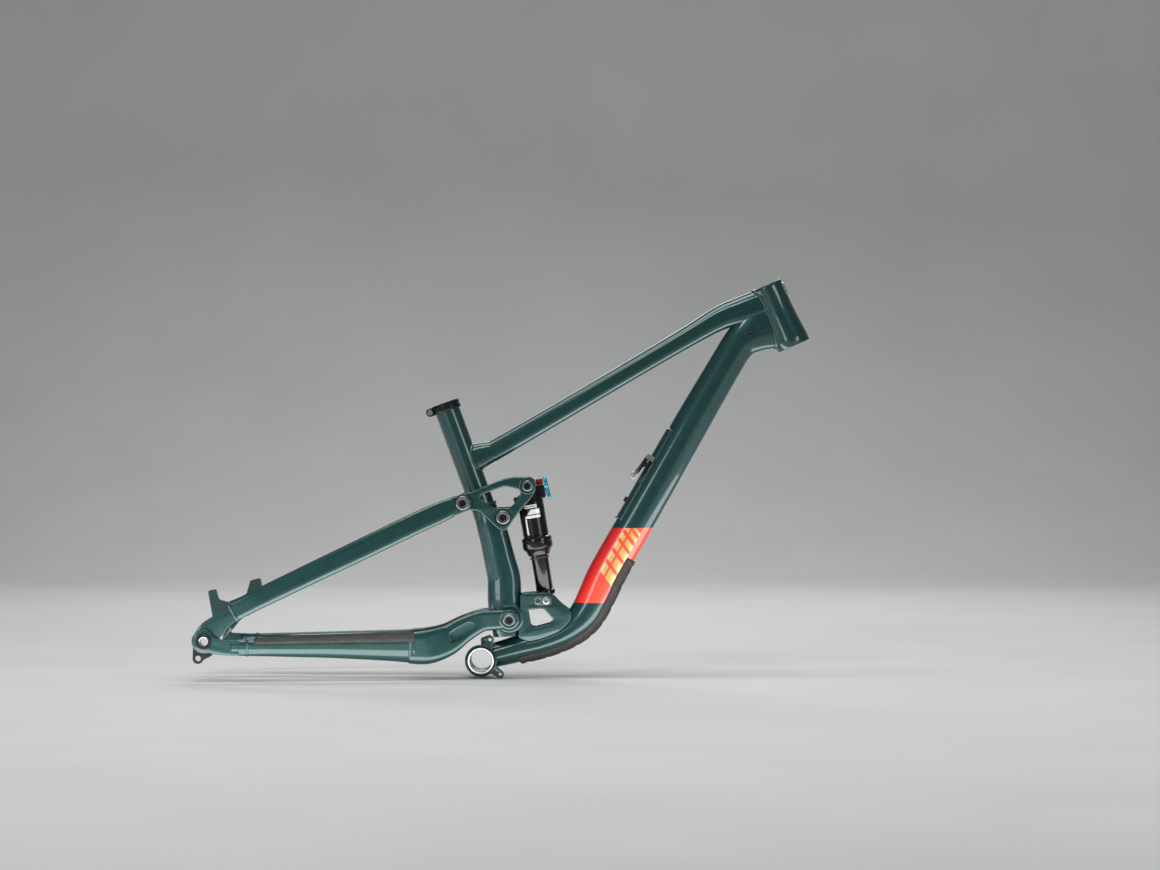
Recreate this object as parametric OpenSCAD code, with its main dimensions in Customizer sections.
// Full-suspension trail bicycle frame with a four-bar rear end and an air shock.
// Millimetres. Origin: centre of the bottom bracket shell. +X forward, +Y to the
// rider's left (the side without the chain), +Z up.

/* [Head tube] */
// Reach: head tube top in front of the bottom bracket
reach = 456; // [453:1:459]
// Stack: head tube top above the bottom bracket
stack = 598.5; // [597:0.5:600]
// Head tube length
head_len = 106.5; // [105:0.5:108]
// Outside diameter at the top of the head tube
head_od_top = 49.6; // [49:0.1:50]
// Outside diameter at the bottom of the head tube
head_od_bot = 56; // [55.6:0.1:57]
// Upper headset bore diameter
head_bore_top = 44; // [43.9:0.05:44.1]
// Lower headset bore diameter
head_bore_bot = 49.6; // [49.5:0.05:49.7]

/* [Seat tube] */
// Seatpost diameter the tube is reamed for
seatpost_d = 34.9; // [34.7:0.05:35.1]
// Seat tube outside diameter
seat_od = 40; // [39:0.5:41]
// Length of the reamed seat tube
seat_len = 172; // [168:1:174]

/* [Bottom bracket] */
// Width of the bottom bracket shell
bb_w = 73; // [72:0.5:74]
// Bore diameter of the bottom bracket thread
bb_bore = 34.8; // [34.6:0.1:35]
// Outside diameter of the bottom bracket shell
bb_od = 42.2; // [42:0.1:44]

/* [Rear end] */
// Hub spacing between the inner faces of the rear dropouts
hub_w = 148; // [147.6:0.1:148.4]
// Diameter of the through-axle holes
axle_d = 12.1; // [12:0.05:12.2]
// Wall thickness of the stays
stay_wall = 1.8; // [1.5:0.1:2.5]

/* [Shock] */
// Air can outside diameter
can_od = 41; // [40:0.5:42]
// Diameter of the ring at the lower end of the air can
collar_od = 48.5; // [47:0.5:49]
// Damper body diameter
damper_od = 27.5; // [27:0.5:28]

/* [Hidden] */
$fn = 64;

// Pivot points of the linkage, [x, z]
MP = [45.1, 65.7];     // main pivot
RP = [35.5, 228.1];    // rocker to seat tube
SP = [-28, 251.1];     // rocker to seatstay
AX = [-434.1, 34.3];   // rear axle
SU = [74, 278.2];      // shock upper eye
SL = [103.9, 95.6];    // shock lower eye

head_dir = [-sin(24), 0, cos(24)];            // up along the head tube
head_top = [reach, 0, stack];
head_bot = head_top - head_dir*head_len;
seat_top = [-57.7, 0, 406.3];
seat_tilt = 20.24;                            // lean from vertical
seat_dir = [sin(seat_tilt), 0, -cos(seat_tilt)]; // down along the seat tube
shock_len = norm(SL - SU);
shock_lean = atan2(SL[0] - SU[0], SU[1] - SL[1]); // lean of the shock from vertical
hub = hub_w/2;

teal = [0.10, 0.26, 0.26];
black = [0.09, 0.09, 0.10];
grey = [0.35, 0.35, 0.36];
silver = [0.75, 0.76, 0.78];
rubber = [0.17, 0.16, 0.16];
gold = [0.72, 0.55, 0.25];

// ---------- helpers ----------
module cyl_y(p, r, y0, y1) translate([p[0], y1, p[1]]) rotate([90, 0, 0]) cylinder(r = r, h = y1 - y0);
module tube_y(p, r, ri, y0, y1) translate([p[0], y1, p[1]]) rotate([90, 0, 0])
  difference() { cylinder(r = r, h = y1 - y0); translate([0, 0, -1]) cylinder(r = ri, h = y1 - y0 + 2); }
module plate_y(pts, y0, y1) translate([0, y1, 0]) rotate([90, 0, 0]) linear_extrude(y1 - y0) polygon(pts);
module both() { children(); mirror([0, 1, 0]) children(); }
// from the shock's upper eye, with -Z running along the shock to the lower eye
module on_shock() translate([SU[0], 0, SU[1]]) rotate([0, -shock_lean, 0]) children();

function unit(v) = v/norm(v);
// polygon with every corner rounded by about r
function rounded(P, r, k = 5) = let(n = len(P)) [for (i = [0:n-1])
  let(a = P[(i+n-1)%n], b = P[i], c = P[(i+1)%n], la = norm(a-b), lc = norm(c-b),
      d = min(r, la*0.45, lc*0.45), p = b + (a-b)/la*d, q = b + (c-b)/lc*d)
  for (s = [0:k]) let(t = s/k) p*(1-t)*(1-t) + b*2*t*(1-t) + q*t*t];
// smooth curve through keys, k steps between two keys
function spline(K, k) = let(n = len(K)) [for (i = [0:n-2]) for (s = [0:(i == n-2 ? k : k-1)])
  let(t = s/k, a = K[max(i-1, 0)], b = K[i], c = K[i+1], d = K[min(i+2, n-1)])
  (b*2 + (c-a)*t + (a*2 - b*5 + c*4 - d)*t*t + (b*3 - a - c*3 + d)*t*t*t)/2];
function se(a, b, n, f) = [a*sign(cos(f))*pow(abs(cos(f)), 2/n), b*sign(sin(f))*pow(abs(sin(f)), 2/n)];
// one ring of a tube: key = [x, y, z, half width, half height, squareness]
function ring(S, i, inset, F) = let(
    p = [S[i][0], S[i][1], S[i][2]],
    a = S[max(i-1, 0)], b = S[min(i+1, len(S)-1)],
    T = unit([b[0]-a[0], b[1]-a[1], b[2]-a[2]]),
    u = unit([0, 1, 0] - T*T[1]), v = cross(T, u))
  [for (f = F) let(q = se(S[i][3] - inset, S[i][4] - inset, S[i][5], f)) p + u*q[0] + v*q[1]];
// hollow tube (closed = true) or a curved strip of it, as one closed solid
module shell(S, out, inn, F, closed) {
  m = len(S); n = len(F); k = closed ? n : n - 1;
  O = [for (i = [0:m-1]) each ring(S, i, out, F)];
  I = [for (i = [0:m-1]) each ring(S, i, inn, F)];
  h = m*n;
  polyhedron(concat(O, I), concat(
    [for (i = [0:m-2]) for (j = [0:k-1]) let(a = i*n+j, b = i*n+(j+1)%n) each [[a, b, b+n], [a, b+n, a+n]]],
    [for (i = [0:m-2]) for (j = [0:k-1]) let(a = h+i*n+j, b = h+i*n+(j+1)%n) each [[a, b+n, b], [a, a+n, b+n]]],
    [for (j = [0:k-1]) let(a = j, b = (j+1)%n) each [[a, h+b, b], [a, h+a, h+b]]],
    [for (j = [0:k-1]) let(a = (m-1)*n+j, b = (m-1)*n+(j+1)%n) each [[a, b, h+b], [a, h+b, h+a]]],
    closed ? [] : [for (i = [0:m-2]) let(a = i*n) each [[a, a+n, h+a+n], [a, h+a+n, h+a]]],
    closed ? [] : [for (i = [0:m-2]) let(a = i*n+n-1) each [[a, h+a+n, a+n], [a, h+a, h+a+n]]]), convexity = 8);
}
function around(n) = [for (j = [0:n-1]) j*360/n];
module pipe(S, t, n = 24) shell(S, 0, t, around(n), true);
// solid loft through the rings
module loft(S, n = 20) {
  F = around(n); m = len(S);
  O = [for (i = [0:m-1]) each ring(S, i, 0, F)];
  polyhedron(O, concat(
    [for (i = [0:m-2]) for (j = [0:n-1]) let(a = i*n+j, b = i*n+(j+1)%n) each [[a, b, b+n], [a, b+n, a+n]]],
    [for (j = [1:n-2]) [0, j+1, j]],
    [for (j = [1:n-2]) [(m-1)*n, (m-1)*n+j, (m-1)*n+j+1]]), convexity = 6);
}
function flip_y(K) = [for (k = K) [k[0], -k[1], k[2], k[3], k[4], k[5]]];

// ---------- tube shapes: x, y, z, half width in Y, half height, squareness ----------
top_keys = [[-30, 0, 314, 17.5, 24.5, 2.4], [-0.5, 0, 326.5, 17.2, 20.5, 2.4], [14.5, 0, 332, 17, 17.5, 2.5], [29, 0, 339, 17, 16.5, 2.5], [130, 0, 398, 18, 16, 2.6],
  [240, 0, 463, 19, 16, 2.6], [330, 0, 516, 20, 17, 2.5], [380, 0, 545, 20.5, 19.5, 2.4],
  [415, 0, 558, 20.5, 22, 2.3], [458, 0, 572, 19, 24, 2.2]];
down_keys = [[6, 0, 4, 29, 19, 2.4], [36, 0, 11, 29, 20, 2.5], [65, 0, 19, 29, 21.5, 2.6],
  [90, 0, 25, 29, 22, 2.6], [114, 0, 33, 29, 22.5, 2.6], [136, 0, 44, 29, 24, 2.6],
  [156, 0, 59, 29, 26, 2.6], [171, 0, 78, 28.5, 27.5, 2.6], [184, 0, 104, 28, 28.5, 2.6],
  [203, 0, 144, 27, 29, 2.7], [257, 0, 238, 26, 28.5, 2.7], [327, 0, 362, 25, 28, 2.7],
  [385, 0, 462, 24.5, 26.5, 2.6], [410, 0, 502, 24.5, 27, 2.4], [431, 0, 521, 23.5, 33, 2.3], [462, 0, 540, 20, 45, 2.2]];
forging_keys = [[5, 0, 242, 20, 20, 2], [11, 0, 226, 22, 22.6, 2.2], [17, 0, 208, 23, 25, 2.3],
  [22, 0, 190, 24, 24, 2.4], [29, 0, 160, 25.5, 25, 2.5], [36, 0, 130, 27, 26.5, 2.6],
  [37, 0, 105, 28, 27, 2.7], [38, 0, 84, 28.5, 27, 2.7], [41, 0, 38, 28, 22, 2.7]];
cs_keys = [[-104, -57, 22, 11.5, 23.5, 2.8], [-150, -61, 23, 10.5, 20.5, 2.7], [-230, -66, 24, 10, 17, 2.6],
  [-310, -72, 24, 9.5, 14.5, 2.5], [-356, -77, 24, 8.5, 13, 2.5], [-392, -81, 24, 5.5, 12, 2.5]];
ss_keys = [[-38, -49.5, 248, 7, 14, 2.6], [-62, -50.5, 237.5, 8, 16.5, 2.8], [-110, -54, 215.5, 8.5, 17, 2.9],
  [-190, -60, 177, 8.5, 17, 2.9], [-280, -67, 134, 8.5, 16.5, 2.9], [-350, -73, 100, 7.5, 16, 2.7],
  [-392, -77, 78.5, 4.6, 15.2, 2.6]];
yoke_keys = [[40, -38.5, 66, 7, 15.5, 3], [0, -39, 62.5, 7, 16.5, 3], [-28, -41, 49, 8, 20, 3],
  [-55, -46, 32, 9.5, 24, 3], [-84, -53, 23, 11, 26, 2.9], [-113, -58, 22, 11.6, 24, 2.8]];

// ---------- front triangle ----------
module head_tube() color(teal)
  translate(head_bot) rotate([0, -24, 0]) rotate_extrude($fn = 96) polygon([
    [head_bore_bot/2, 0], [head_od_bot/2, 0], [head_od_bot/2, 14], [head_od_bot/2 - 1.6, 22],
    [head_od_top/2, 60], [head_od_top/2, head_len], [head_bore_top/2, head_len],
    [head_bore_top/2, head_len - 22], [20.5, head_len - 24], [20.5, 24], [head_bore_bot/2, 22]]);
module head_bore_clear(r_add) translate(head_bot - head_dir*20) rotate([0, -24, 0])
  cylinder(r1 = head_od_bot/2 - r_add, r2 = head_od_top/2 - r_add, h = head_len + 40, $fn = 96);
module head_badge() color(silver)
  translate(head_top - head_dir*16) rotate([0, -24, 0])
    intersection() {
      difference() { cylinder(r = head_od_top/2 + 1.4, h = 30, center = true); cylinder(r = head_od_top/2, h = 40, center = true); }
      translate([20, 0, 0]) rotate([0, 90, 0]) linear_extrude(20) polygon(rounded([[-11, -7], [11, -7], [11, 7], [-11, 7]], 4));
    }
module top_tube() color(teal) difference() {
  pipe(spline(top_keys, 3), 2);
  translate(seat_top - seat_dir*20) rotate([0, 180 - seat_tilt, 0]) cylinder(r = seat_od/2 - 0.8, h = 220);
  head_bore_clear(1);
}
module down_tube() color(teal) difference() {
  pipe(spline(down_keys, 2), 2.4);
  cyl_y([0, 0], bb_od/2 - 0.8, -60, 60);
  head_bore_clear(1);
  // opening under the storage door
  translate([284, 0, 285]) rotate([0, 29.5, 0]) translate([-40, -16, -66]) cube([40, 32, 132]);
}
module seat_tube() color(teal)
  translate(seat_top) rotate([0, 180 - seat_tilt, 0]) difference() {
    cylinder(r = seat_od/2, h = seat_len);
    translate([0, 0, -1]) cylinder(r = seatpost_d/2, h = seat_len + 2);
    translate([0, -1.25, -1]) cube([30, 2.5, 24]);
  }
module seat_tube_forging() color(teal) difference() {
  pipe(spline(forging_keys, 2), 3, 20);
  cyl_y(MP, 22.2, -60, 60);
}
module bb_shell() color(teal) {
  tube_y([0, 0], bb_od/2, bb_bore/2, -bb_w/2, bb_w/2);
  tube_y([0, 0], 25.5, bb_od/2 - 0.2, -bb_w/2 + 4, -bb_w/2 + 9);
}
module chain_guide_tabs() color(teal) {
  for (p = [[30.6, -21.4], [14.7, 33.4]])
    let(d = unit(p)) difference() {
      union() { cyl_y(p, 6.3, -bb_w/2 + 4, -bb_w/2 + 9);
        plate_y([d*23 + [d[1], -d[0]]*7, d*norm(p) + [d[1], -d[0]]*6, d*norm(p) - [d[1], -d[0]]*6, d*23 - [d[1], -d[0]]*7], -bb_w/2 + 4, -bb_w/2 + 9); }
      cyl_y(p, 2.5, -60, 60);
      cyl_y([0, 0], 25.5, -60, 60);
    }
}
module main_pivot_housing() color(teal) tube_y(MP, 23, 14, -29.5, 29.5);
module main_pivot_bearings() color(silver) both() tube_y(MP, 14, 7.55, 22, 29);
module rocker_pivot_housing() color(teal) tube_y(RP, 12, 6, -30, 30);
module rocker_pivot_axle() color(black) {
  cyl_y(RP, 6, -41.5, 41.5);
  both() difference() { cyl_y(RP, 10.8, 41.4, 45); cyl_y(RP, 4.2, 43, 46); }
}
module shock_mount_plates() color(teal) both() difference() {
  plate_y(rounded([[62, 105], [72, 107.5], [110, 108.4], [117, 101], [127, 90], [145, 77], [142, 62], [124, 45],
    [100, 35], [76, 29], [59, 36], [62, 80]], 4), 21, 27);
  plate_y(rounded([[74.5, 80.5], [99.5, 83], [116.5, 64], [111, 59], [99, 55.5], [86, 52], [79, 54]], 3), 15, 40);
  cyl_y(SL, 4, 15, 40);
}
module flip_chips() color(grey) both() difference() {
  plate_y(rounded([[84, 88], [113, 88], [113, 103], [84, 103]], 7), 27, 29.2);
  cyl_y([91, 95.2], 4, 20, 40); cyl_y(SL, 4, 20, 40);
}
module lower_shock_bolt() color(silver) {
  cyl_y(SL, 4, -29.6, 29.6);
  both() difference() { cyl_y(SL, 6.2, 29.2, 32.4); cyl_y(SL, 2.6, 30.6, 33); }
}
module seat_clamp() color(black)
  translate(seat_top - seat_dir*4) rotate([0, 180 - seat_tilt, 0]) difference() {
    union() { cylinder(r = seat_od/2 + 3.2, h = 13.5); translate([18, -9, 0]) cube([15, 18, 13.5]); }
    translate([0, 0, 4]) cylinder(r = seat_od/2, h = 20);
    translate([0, 0, -1]) cylinder(r = seatpost_d/2 + 0.3, h = 10);
    translate([0, -1.25, -1]) cube([50, 2.5, 20]);
    translate([26.5, 20, 6.7]) rotate([90, 0, 0]) cylinder(r = 2.6, h = 40);
  }
module seat_clamp_bolt() color(black)
  translate(seat_top - seat_dir*4) rotate([0, 180 - seat_tilt, 0]) translate([26.5, 0, 6.7]) rotate([90, 0, 0]) {
    cylinder(r = 2.6, h = 20, center = true);
    difference() { translate([0, 0, 9]) cylinder(r = 4.6, h = 5); translate([0, 0, 11.4]) cylinder(r = 2.2, h = 4); }
    translate([0, 0, -12]) cylinder(r = 4.4, h = 3);
  }
module down_tube_guard() color(rubber)
  shell(spline(concat([[57, 0, 16.5, 29, 21.2, 2.6]], [for (i = [3:9]) down_keys[i]], [[219, 0, 172, 26.7, 28.8, 2.7]]), 2), -3.2, -0.1,
    [for (a = [207:14:333.1]) a], false);
module cable_ports() color(black) both() translate([428, 24.6, 519.6]) rotate([90, 0, 0]) {
  difference() { cylinder(r = 4.5, h = 4, center = true); cylinder(r = 2.6, h = 6, center = true); } }
module cable_guide() color(black) {
  cyl_y([3, 33], 3.4, -27, -22.5);
  plate_y(rounded([[1, 31], [16, 38], [15, 41.5], [0, 36]], 1), -25.5, -22.6);
  plate_y([[0, 20.5], [6, 20.5], [6, 32], [0, 32]], -25.4, -22.6);
}
// ---------- storage door ----------
module storage_door() color(teal)
  shell(spline([[242, 0, 212, 26.2, 28.6, 2.7], [257, 0, 238, 26, 28.5, 2.7], [290, 0, 296.5, 25.5, 28.3, 2.7], [324, 0, 356.5, 25, 28, 2.7]], 2), -2.6, -0.35,
    [for (a = [52:8:128.1]) a], false);
// a point on the door, s up along the tube from the lower bottle bolt
module on_door(s) translate([258.4 + s*0.492, 0, 240.6 + s*0.871]) rotate([0, -60.5, 0]) children();
module door_hinge_pin() color(silver) cyl_y([215, 227.6], 1.4, -9, 9);
module bottle_bolts() color(black) for (s = [0, 64]) on_door(s) translate([0, 0, 28]) difference() {
  cylinder(r = 4.6, h = 6.4); translate([0, 0, 4.4]) cylinder(r = 2, h = 4); }
module latch_bracket() color(silver) on_door(76.7) {
  for (y = [-24, -11.6]) translate([0, y, 0]) difference() {
    translate([-4, 0, 24]) cube([8, 1.6, 12.6]);
    translate([0, -5, 34]) rotate([-90, 0, 0]) cylinder(r = 1.5, h = 10); }
  translate([0, -24, 34]) rotate([-90, 0, 0]) cylinder(r = 1.5, h = 14);
}
module door_latch() color(silver) on_door(76.7) translate([0, -12, 0]) rotate([90, 0, 0]) linear_extrude(10) difference() {
  polygon(rounded([[4, 31.5], [4, 38], [-30, 41], [-33, 45], [-42, 44], [-43, 36], [-30, 35], [-6, 31.5]], 2));
  translate([0, 34]) circle(r = 1.55);
}

// ---------- chainstay assembly ----------
module yoke_arm() difference() {
  loft(spline(yoke_keys, 3));
  cyl_y(MP, 16.6, -70, -10);
  plate_y(rounded([[-51.6, 45.5], [-38.9, 54], [-19.9, 64], [-9.5, 61.5], [-9.5, 50.5], [-29.4, 34], [-46.8, 27.5]], 4, 3), -90, -43.5);
}
module yoke_bosses() color(teal) both() tube_y(MP, 16.6, 7.5, 31, 46);
module yoke_right() color(teal) yoke_arm();
module yoke_left() color(teal) mirror([0, 1, 0]) yoke_arm();
module yoke_bridge() color(teal) plate_y(rounded([[-20, 62], [-26, 40], [-48, 28], [-54, 40], [-48, 54], [-32, 66]], 5), -40, 40);
module chainstay_right() color(teal) pipe(spline(cs_keys, 3), stay_wall);
module chainstay_left() color(teal) pipe(flip_y(spline(cs_keys, 3)), stay_wall);
module chainstay_dropouts() color(teal) both() difference() {
  union() {
    cyl_y(AX, 18.9, hub + 6.3, hub + 12);
    plate_y(rounded([[-428, 17], [-428, 50], [-412, 44], [-402, 37], [-378, 36], [-378, 12.5], [-418, 14.5]], 3), hub + 6.3, hub + 12);
    cyl_y(AX, 8.5, hub, hub + 8);
  }
  cyl_y(AX, axle_d/2, 40, 120);
}
module derailleur_hanger() color(grey) difference() {
  union() { cyl_y([-442.8, 7.6], 8.5, -hub - 12, -hub - 6.4);
    plate_y(rounded([[-450.5, 26], [-418, 22], [-421, 12], [-434.6, 5], [-451.2, 6]], 2), -hub - 12, -hub - 6.4); }
  cyl_y(AX, 18.9, -120, 0);
  plate_y(rounded([[-428, 17], [-428, 50], [-412, 44], [-402, 37], [-378, 36], [-378, 12.5], [-418, 14.5]], 3), -120, -60);
  cyl_y([-442.8, 7.6], 4.5, -120, -60);
}
module chainstay_guard() color(rubber)
  shell(spline([for (i = [0:4]) cs_keys[i]], 3), -3, -0.1, [for (a = [196:12:280.1]) a], false);
module main_pivot_axle() color(black) {
  cyl_y(MP, 7.5, -46.2, 46.2);
  both() difference() { cyl_y(MP, 9.6, 46.05, 48.4); cyl_y(MP, 4, 47, 50); }
}
module axle_pivot_nuts() color(black) both() tube_y(AX, 12.2, 7.4, hub + 12, hub + 14.6);

// ---------- seatstay assembly ----------
module seatstay_right() color(teal) pipe(spline(ss_keys, 3), stay_wall);
module seatstay_left() color(teal) pipe(flip_y(spline(ss_keys, 3)), stay_wall);
module seatstay_lugs() color(teal) both() difference() {
  union() { cyl_y(SP, 14, 42, 56);
    plate_y([[-30, 238], [-58, 224], [-64, 254], [-24, 265]], 42.5, 55.5); }
  cyl_y(SP, 3.5, 30, 60);
  cyl_y([-12, 230], 8, 30, 60);
}
module seatstay_bridge() color(teal) translate([-82, 0, 225.6]) rotate([0, -25.7, 0]) rotate([90, 0, 0])
  linear_extrude(104, center = true) polygon(rounded([[-8, -6.5], [8, -6.5], [8, 6.5], [-8, 6.5]], 6));
module seatstay_dropouts() color(teal) both() difference() {
  union() {
    cyl_y(AX, 17.5, hub + 1, hub + 5.9);
    plate_y(rounded([[-449, 30], [-451, 44], [-436, 64], [-420, 74], [-394, 84], [-374, 104], [-366, 76], [-392, 60], [-404, 44], [-424, 26]], 5), hub + 1, hub + 5.9);
  }
  cyl_y(AX, 12, 40, 120);
}
module axle_pivot_bearings() color(silver) both() tube_y(AX, 12, 8.55, hub + 1, hub + 5.9);
module brake_mount() color(teal) difference() {
  plate_y(rounded([[-446, 106], [-433, 109], [-428, 92], [-414, 88], [-384, 100], [-377, 123], [-361, 127], [-356, 104],
    [-372, 88], [-394, 76], [-420, 68], [-438, 62]], 3), 66, 75.2);
  for (p = [[-440, 104.5, 16], [-368.1, 123.3, 11.5]])
    translate([p[0], 70.5, p[1]]) rotate([0, -14.66, 0]) translate([0, 0, -p[2]]) cylinder(r = 2.5, h = p[2] + 8);
}
module seatstay_pivot_bolts() color(black) both() {
  cyl_y(SP, 3.5, 28, 56.2);
  tube_y(SP, 7.5, 3.4, 27.6, 30.6);
  difference() { cyl_y(SP, 10.8, 56, 59); cyl_y(SP, 4.2, 57.4, 62); }
}

// ---------- rocker ----------
rocker_out = [[-30, 265], [-14, 268], [6.7, 277.9], [30.6, 287.4], [49.6, 293], [74, 292.4], [87.6, 284], [87.7, 272],
  [80, 258], [60.7, 236.6], [43.3, 211.2], [34, 206], [25.8, 212.8], [9.9, 227.1], [-1.2, 237.8], [-16, 240], [-32, 238]];
rocker_win = [[-1, 262], [4, 265.2], [38.5, 277.9], [60.7, 272.4], [63.9, 266.8], [57.6, 254.1], [46, 243.2], [21, 243.2], [11.5, 250.9], [0, 256]];
module rocker_link() color(teal) {
  both() difference() {
    union() { plate_y(rounded(rocker_out, 6), 31, 41);
      cyl_y(SP, 14, 31, 41); cyl_y(SU, 13.5, 31, 41); cyl_y(RP, 14, 31, 41); }
    plate_y(rounded(rocker_win, 4), 20, 60);
    cyl_y(SP, 12, 20, 60); cyl_y(RP, 11, 20, 60); cyl_y(SU, 3.7, 20, 60);
  }
  translate([37, 0, 284.4]) rotate([0, -17, 0]) rotate([90, 0, 0])
    linear_extrude(62.4, center = true) polygon(rounded([[-11, -4], [11, -4], [11, 4], [-11, 4]], 3));
}
module rocker_bearings() color(silver) both() tube_y(RP, 11, 6.05, 31.5, 40.5);
module seatstay_pivot_bearings() color(silver) both() tube_y(SP, 12, 8.3, 31.5, 40.5);
module upper_shock_bolt() color(black) {
  cyl_y(SU, 3.7, -41.5, 41.5);
  both() difference() { cyl_y(SU, 8.6, 41.2, 44); cyl_y(SU, 3.4, 42.6, 46); }
}
module upper_shock_spacers() color(grey) both() tube_y(SU, 7, 3.7, 13, 31);

// ---------- shock ----------
module damper_body() color(black) on_shock() translate([0, 0, -shock_len + 12])
  difference() { cylinder(r = damper_od/2, h = 85); translate([0, 0, 4]) cylinder(r = damper_od/2 - 2, h = 77); }
module lower_eyelet() color(black) difference() {
  union() { cyl_y(SL, 13, -12, 12);
    on_shock() translate([0, 0, -shock_len + 8]) cylinder(r = 16, h = 8); }
  cyl_y(SL, 7, -40, 40);
}
module lower_shock_bushing() color(grey) tube_y(SL, 7, 4.05, -20.6, 20.6);
module air_piston() color(grey) on_shock() translate([0, 0, -88]) cylinder(r = can_od/2 - 2.05, h = 8);
module air_can() color(black) on_shock() translate([0, 0, -100]) difference() {
  cylinder(r = can_od/2, h = 76);
  translate([0, 0, -1]) cylinder(r = can_od/2 - 2, h = 73);
}
module can_collar() color(black) on_shock() rotate_extrude($fn = 96) polygon([[damper_od/2 + 0.4, -113], [17.5, -113],
  [20.5, -106], [collar_od/2 - 1, -102.5], [collar_od/2, -101], [collar_od/2, -86], [collar_od/2 - 1.4, -83], [can_od/2, -82.5],
  [can_od/2, -100.5], [damper_od/2 + 0.4, -100.5]]);
module shock_head() color(grey) difference() {
  union() { on_shock() translate([0, 0, -27]) cylinder(r = 19, h = 14);
    cyl_y(SU, 13, -12.5, 12.5);
    on_shock() translate([2, -10, -24]) cube([24, 20, 22]); }
  cyl_y(SU, 8.5, -40, 40);
}
module air_valve() color(black) on_shock() translate([-17, 0, -19.4]) rotate([0, -90, 0]) cylinder(r = 4.4, h = 9);
module travel_ring() color(rubber) on_shock() translate([0, 0, -118]) difference() {
  cylinder(r = damper_od/2 + 1.8, h = 2.4); translate([0, 0, -1]) cylinder(r = damper_od/2 + 0.05, h = 5); }
module compression_lever() color([0.15, 0.45, 0.62]) on_shock() translate([26.4, 0, -4])
  rotate([0, 90, 0]) { cylinder(r = 7, h = 5);
    linear_extrude(5) polygon(rounded([[-14, -3], [-4, -6], [14, -5], [21, -4], [21, 4], [14, 5], [-4, 6], [-14, 3]], 2)); }
module rebound_knob() color([0.7, 0.1, 0.1]) on_shock() translate([19.5, 0, -1.6]) cylinder(r = 5.5, h = 9);

head_tube();
head_badge();
top_tube();
down_tube();
seat_tube();
seat_tube_forging();
bb_shell();
chain_guide_tabs();
main_pivot_housing();
main_pivot_bearings();
rocker_pivot_housing();
rocker_pivot_axle();
shock_mount_plates();
flip_chips();
lower_shock_bolt();
seat_clamp();
seat_clamp_bolt();
down_tube_guard();
cable_ports();
cable_guide();
storage_door();
door_hinge_pin();
bottle_bolts();
latch_bracket();
door_latch();
yoke_right();
yoke_left();
yoke_bosses();
yoke_bridge();
chainstay_right();
chainstay_left();
chainstay_dropouts();
derailleur_hanger();
chainstay_guard();
main_pivot_axle();
axle_pivot_nuts();
seatstay_right();
seatstay_left();
seatstay_lugs();
seatstay_bridge();
seatstay_dropouts();
axle_pivot_bearings();
brake_mount();
seatstay_pivot_bolts();
rocker_link();
rocker_bearings();
seatstay_pivot_bearings();
upper_shock_bolt();
upper_shock_spacers();
damper_body();
lower_eyelet();
lower_shock_bushing();
air_piston();
air_can();
can_collar();
shock_head();
air_valve();
travel_ring();
compression_lever();
rebound_knob();
